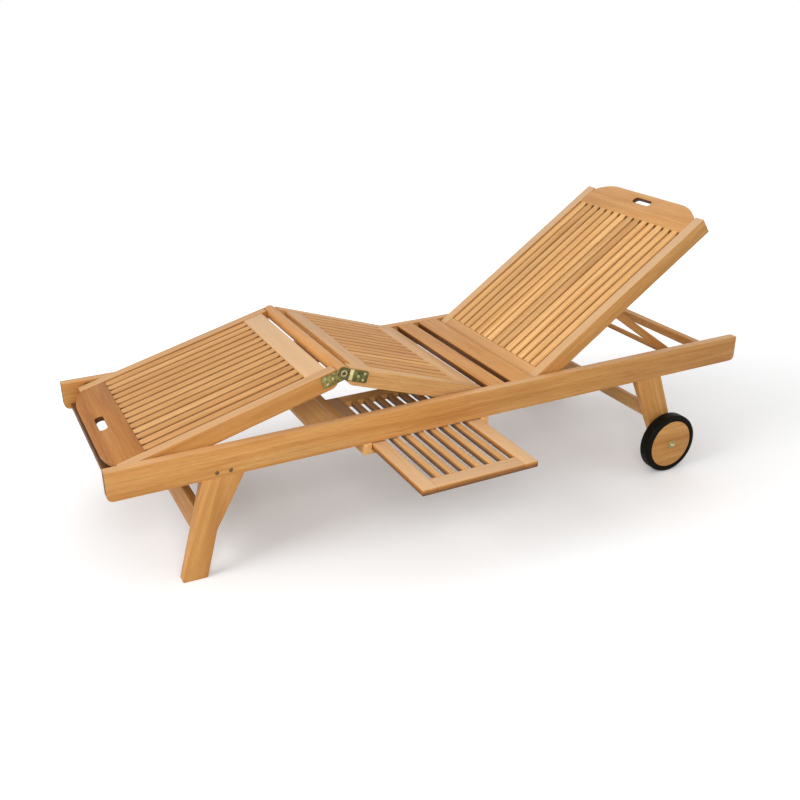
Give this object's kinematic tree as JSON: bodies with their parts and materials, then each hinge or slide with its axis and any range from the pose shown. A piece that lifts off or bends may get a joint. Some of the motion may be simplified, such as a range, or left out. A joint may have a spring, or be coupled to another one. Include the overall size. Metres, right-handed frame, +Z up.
{
  "type": "reclining sun lounger",
  "caption": "Slatted hardwood sun lounger with a back propped on notched racks, a hinged knee section on brass hinges, a slide-out side tray and wheels at the head end.",
  "frame": {"origin": "on the floor, under the middle of the whole object's box with the tray pulled out", "axes": "+X towards the head end, +Y away from the pulled-out tray, +Z up"},
  "size_m": [2.001, 0.9726, 0.8112],
  "materials": {
    "frame_wood": "oiled hardwood with long grain, satin",
    "slat_wood": "oiled hardwood slats that differ in tone, satin",
    "brass": "aged cast brass, dull with worn edges",
    "steel": "plain steel, satin",
    "tyre": "black rubber, matt"
  },
  "bodies": {
    "frame": {"axle_bolts": "steel", "axle_spacers": "steel", "back_pins": "steel", "foot_crossbar": "frame_wood", "foot_leg_far": "frame_wood", "foot_leg_near": "frame_wood", "foot_stretcher": "frame_wood", "head_crossbar": "frame_wood", "head_leg_far": "frame_wood", "head_leg_near": "frame_wood", "head_stretcher": "frame_wood", "knee_board": "frame_wood", "leg_bolts": "steel", "prop_rack_far": "frame_wood", "prop_rack_near": "frame_wood", "seat_slat_1": "slat_wood", "seat_slat_2": "slat_wood", "side_rail_far": "frame_wood", "side_rail_near": "frame_wood", "thigh_pins": "steel", "tray_guide_foot": "frame_wood", "tray_guide_head": "frame_wood", "wheel_nuts": "steel"},
    "back": {"back_rail": "frame_wood", "back_slats": "slat_wood", "back_stile_far": "frame_wood", "back_stile_near": "frame_wood", "headboard": "frame_wood", "prop_pins": "steel"},
    "calf": {"calf_knee_rail": "frame_wood", "calf_leaf_far": "brass", "calf_leaf_near": "brass", "calf_slats": "slat_wood", "calf_stile_far": "frame_wood", "calf_stile_near": "frame_wood", "foot_board": "frame_wood", "foot_pins": "steel"},
    "thigh": {"knee_bar": "frame_wood", "knee_pins": "brass", "thigh_front_rail": "frame_wood", "thigh_leaf_far": "brass", "thigh_leaf_near": "brass", "thigh_rear_rail": "frame_wood", "thigh_slats": "slat_wood", "thigh_stile_far": "frame_wood", "thigh_stile_near": "frame_wood"},
    "prop": {"prop_bar": "frame_wood", "prop_leg_far": "frame_wood", "prop_leg_near": "frame_wood"},
    "tray": {"tray_rail_inner": "frame_wood", "tray_rail_outer": "frame_wood", "tray_slats": "slat_wood", "tray_stile_foot": "frame_wood", "tray_stile_head": "frame_wood"},
    "wheel_far": {"wheel_bush_far": "brass", "wheel_disc_far": "frame_wood", "wheel_tyre_far": "tyre"},
    "wheel_near": {"wheel_bush_near": "brass", "wheel_disc_near": "frame_wood", "wheel_tyre_near": "tyre"}
  },
  "joints": [
    {"name": "back_recline", "type": "hinge", "parent": "frame", "child": "back", "pos_m": [0.26249, 0.11075, 0.37155], "axis": [0, -1, 0], "range_deg": [-34.5, 15]},
    {"name": "prop_fold", "type": "hinge", "parent": "back", "child": "prop", "pos_m": [0.51779, 0.11075, 0.54414], "axis": [0, 1, 0], "range_deg": [-66.06, 29]},
    {"name": "knee_lift", "type": "hinge", "parent": "frame", "child": "thigh", "pos_m": [0.03956, 0.11075, 0.36602], "axis": [0, 1, 0], "range_deg": [-18.75, 6]},
    {"name": "knee_fold", "type": "hinge", "parent": "thigh", "child": "calf", "pos_m": [-0.36967, 0.11075, 0.49372], "axis": [0, -1, 0], "range_deg": [-34.18, 11.28]},
    {"name": "tray_slide", "type": "slide", "parent": "frame", "child": "tray", "axis": [0, 1, 0], "range_m": [0, 0.584]},
    {"name": "wheel_near_spin", "type": "hinge", "parent": "frame", "child": "wheel_near", "pos_m": [0.73447, -0.22925, 0.096], "axis": [0, 1, 0], "continuous": true},
    {"name": "wheel_far_spin", "type": "hinge", "parent": "frame", "child": "wheel_far", "pos_m": [0.73447, 0.45075, 0.096], "axis": [0, 1, 0], "continuous": true}
  ],
  "couplings": [
    {"joint": "prop_fold", "follows": "back_recline", "ratio": 1.9002},
    {"joint": "knee_fold", "follows": "knee_lift", "ratio": 1.7961}
  ]
}
